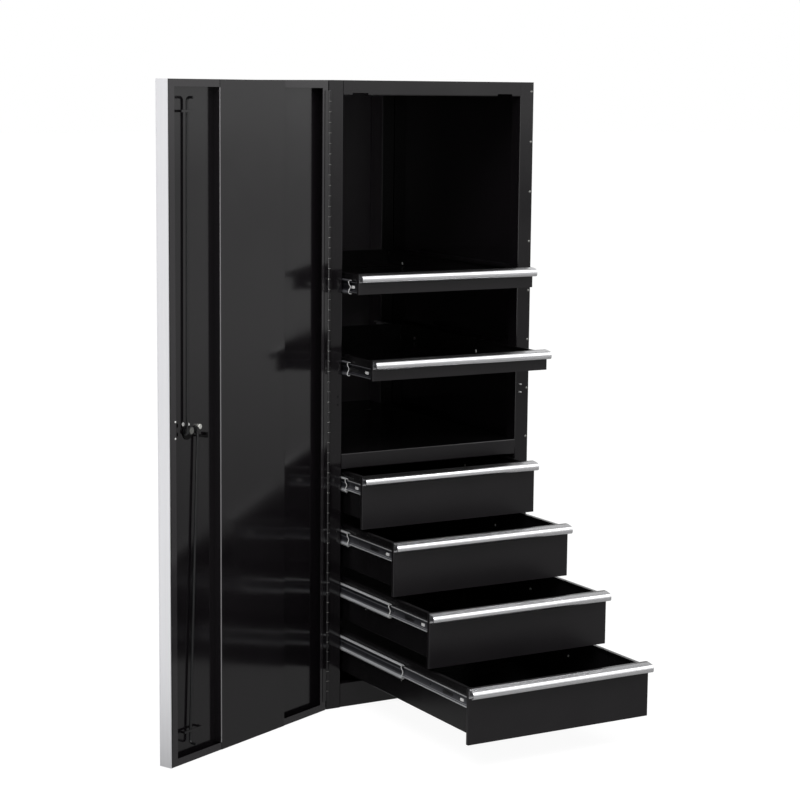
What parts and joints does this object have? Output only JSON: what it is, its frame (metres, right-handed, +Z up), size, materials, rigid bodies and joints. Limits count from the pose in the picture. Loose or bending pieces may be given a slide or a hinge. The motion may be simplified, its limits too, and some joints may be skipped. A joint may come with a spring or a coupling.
{
  "type": "tool cabinet with pull-out trays and drawers",
  "caption": "Tall black steel tool cabinet with a full-height hinged door, pull-out trays above a fixed shelf and deep drawers below, on ball-bearing slides.",
  "frame": {"origin": "centre of the casing's underside on the floor", "axes": "+Z up, -Y out of the front, +X to the right of someone facing the front"},
  "size_m": [1.128, 1.3979, 1.55],
  "materials": {
    "black_powder_coat": "gloss",
    "bright_aluminium": "satin",
    "zinc_plated_steel": "satin",
    "bright_zinc": "satin",
    "black_zinc_steel": "satin"
  },
  "bodies": {
    "cabinet": {"left_side_panel": "black_powder_coat", "right_side_panel": "black_powder_coat", "back_panel": "black_powder_coat", "top_panel": "black_powder_coat", "base_pan": "black_powder_coat", "left_post": "black_powder_coat", "right_post": "black_powder_coat", "top_rail": "black_powder_coat", "middle_rail": "black_powder_coat", "toe_rail": "black_powder_coat", "fixed_shelf": "black_powder_coat", "rear_uprights": "black_powder_coat", "post_rivets": "bright_zinc", "strike_plate": "bright_zinc", "cabinet_hinge_leaf": "black_powder_coat", "hinge_pin": "zinc_plated_steel", "left_cabinet_slides": "zinc_plated_steel", "right_cabinet_slides": "zinc_plated_steel"},
    "door": {"door_shell": "black_powder_coat", "door_stiffener": "black_powder_coat", "door_edge_trim": "bright_aluminium", "door_hinge_leaf": "black_powder_coat", "door_catch": "black_powder_coat", "lock_housing": "zinc_plated_steel", "rod_guides": "black_powder_coat"},
    "lock_cam": {"lock_plug": "zinc_plated_steel", "lock_cam": "black_zinc_steel", "cam_rivets": "bright_zinc"},
    "upper_rod": {"upper_rod": "black_zinc_steel"},
    "lower_rod": {"lower_rod": "black_zinc_steel"},
    "upper_tray_runners": {"upper_tray_mid_slides": "zinc_plated_steel"},
    "upper_tray": {"upper_tray_box": "black_powder_coat", "upper_tray_front": "black_powder_coat", "upper_tray_pull": "bright_aluminium", "upper_tray_slides": "zinc_plated_steel"},
    "lower_tray_runners": {"lower_tray_mid_slides": "zinc_plated_steel"},
    "lower_tray": {"lower_tray_box": "black_powder_coat", "lower_tray_front": "black_powder_coat", "lower_tray_pull": "bright_aluminium", "lower_tray_slides": "zinc_plated_steel"},
    "drawer_1_runners": {"drawer_1_mid_slides": "zinc_plated_steel"},
    "drawer_1": {"drawer_1_box": "black_powder_coat", "drawer_1_front": "black_powder_coat", "drawer_1_pull": "bright_aluminium", "drawer_1_slides": "zinc_plated_steel"},
    "drawer_2_runners": {"drawer_2_mid_slides": "zinc_plated_steel"},
    "drawer_2": {"drawer_2_box": "black_powder_coat", "drawer_2_front": "black_powder_coat", "drawer_2_pull": "bright_aluminium", "drawer_2_slides": "zinc_plated_steel"},
    "drawer_3_runners": {"drawer_3_mid_slides": "zinc_plated_steel"},
    "drawer_3": {"drawer_3_box": "black_powder_coat", "drawer_3_front": "black_powder_coat", "drawer_3_pull": "bright_aluminium", "drawer_3_slides": "zinc_plated_steel"},
    "drawer_4_runners": {"drawer_4_mid_slides": "zinc_plated_steel"},
    "drawer_4": {"drawer_4_box": "black_powder_coat", "drawer_4_front": "black_powder_coat", "drawer_4_pull": "bright_aluminium", "drawer_4_slides": "zinc_plated_steel"}
  },
  "joints": [
    {"name": "door_hinge", "type": "hinge", "parent": "cabinet", "child": "door", "pos_m": [-0.2925, -0.3925, 0.775], "axis": [0, 0, -1], "range_deg": [-65, 25]},
    {"name": "lock_turn", "type": "hinge", "parent": "door", "child": "lock_cam", "pos_m": [-0.74624, -0.58836, 0.765], "axis": [-0.4226, 0.9063, 0], "range_deg": [0, 90]},
    {"name": "upper_rod_pivot", "type": "hinge", "parent": "lock_cam", "child": "upper_rod", "pos_m": [-0.76202, -0.5971, 0.765], "axis": [-0.4226, 0.9063, 0], "range_deg": [-92, 0]},
    {"name": "lower_rod_pivot", "type": "hinge", "parent": "lock_cam", "child": "lower_rod", "pos_m": [-0.7294, -0.58188, 0.765], "axis": [-0.4226, 0.9063, 0], "range_deg": [-92, 0]},
    {"name": "upper_tray_runner_slide", "type": "slide", "parent": "cabinet", "child": "upper_tray_runners", "axis": [0, -1, 0], "range_m": [-0.062, 0.288]},
    {"name": "upper_tray_slide", "type": "slide", "parent": "upper_tray_runners", "child": "upper_tray", "axis": [0, -1, 0], "range_m": [-0.0335, 0.3165]},
    {"name": "lower_tray_runner_slide", "type": "slide", "parent": "cabinet", "child": "lower_tray_runners", "axis": [0, -1, 0], "range_m": [-0.058, 0.292]},
    {"name": "lower_tray_slide", "type": "slide", "parent": "lower_tray_runners", "child": "lower_tray", "axis": [0, -1, 0], "range_m": [-0.109, 0.241]},
    {"name": "drawer_1_runner_slide", "type": "slide", "parent": "cabinet", "child": "drawer_1_runners", "axis": [0, -1, 0], "range_m": [-0.05, 0.3]},
    {"name": "drawer_1_slide", "type": "slide", "parent": "drawer_1_runners", "child": "drawer_1", "axis": [0, -1, 0], "range_m": [-0.07, 0.28]},
    {"name": "drawer_2_runner_slide", "type": "slide", "parent": "cabinet", "child": "drawer_2_runners", "axis": [0, -1, 0], "range_m": [-0.062, 0.288]},
    {"name": "drawer_2_slide", "type": "slide", "parent": "drawer_2_runners", "child": "drawer_2", "axis": [0, -1, 0], "range_m": [-0.2135, 0.1365]},
    {"name": "drawer_3_runner_slide", "type": "slide", "parent": "cabinet", "child": "drawer_3_runners", "axis": [0, -1, 0], "range_m": [-0.272, 0.078]},
    {"name": "drawer_3_slide", "type": "slide", "parent": "drawer_3_runners", "child": "drawer_3", "axis": [0, -1, 0], "range_m": [-0.173, 0.177]},
    {"name": "drawer_4_runner_slide", "type": "slide", "parent": "cabinet", "child": "drawer_4_runners", "axis": [0, -1, 0], "range_m": [-0.335, 0.015]},
    {"name": "drawer_4_slide", "type": "slide", "parent": "drawer_4_runners", "child": "drawer_4", "axis": [0, -1, 0], "range_m": [-0.287, 0.063]}
  ],
  "couplings": [
    {"joint": "upper_rod_pivot", "follows": "lock_turn", "ratio": -1.0164},
    {"joint": "lower_rod_pivot", "follows": "lock_turn", "ratio": -1.0162}
  ]
}
